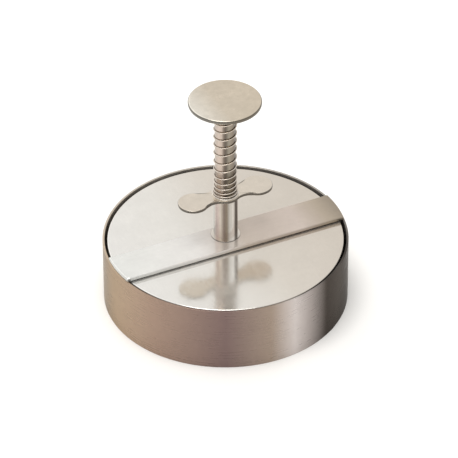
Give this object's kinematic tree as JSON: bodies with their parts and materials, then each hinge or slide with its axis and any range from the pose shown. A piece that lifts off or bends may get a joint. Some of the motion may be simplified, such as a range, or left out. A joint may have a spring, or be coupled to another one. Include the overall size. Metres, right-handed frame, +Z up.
{
  "type": "patty press",
  "caption": "Stainless hamburger patty press: open ring mould with a cross bridge, finger plate and a sprung plunger with a round press plate and palm disc.",
  "frame": {"origin": "centre of the mould ring's foot, on the plane it stands on", "axes": "+Z up along the plunger; +X along the bridge and the finger plate; -Y is the side where the bridge reaches further from the tube"},
  "size_m": [0.12, 0.12, 0.1146],
  "materials": {
    "rolled_band": "satin, lightly scratched",
    "brushed_sheet": "satin brushed sheet",
    "polished_tube": "bright drawn stainless",
    "spring_wire": "bright drawn stainless wire",
    "hardware": "turned stainless",
    "weld_metal": "dull weld"
  },
  "bodies": {
    "mould": {"mould_ring": "rolled_band", "bridge": "brushed_sheet", "weld_bead_left": "weld_metal", "weld_bead_right": "weld_metal", "guide_tube": "polished_tube", "tube_base_collar": "polished_tube", "finger_plate": "brushed_sheet", "lower_spring_washer": "hardware", "return_spring": "spring_wire"},
    "spring_seat": {"upper_spring_washer": "hardware"},
    "plunger": {"plunger_rod": "polished_tube", "disc_ferrule": "hardware", "palm_disc": "brushed_sheet", "press_plate": "brushed_sheet", "plate_screw": "hardware"}
  },
  "joints": [
    {"name": "plunger_slide", "type": "slide", "parent": "mould", "child": "spring_seat", "axis": [0, 0, -1], "range_m": [0, 0.0309], "stiffness_N_per_m": 730, "springref_m": -0.01, "deforming": ["return_spring"]},
    {"name": "plunger_spin", "type": "hinge", "parent": "spring_seat", "child": "plunger", "pos_m": [0, 0, 0.07], "axis": [0, 0, 1], "continuous": true}
  ]
}
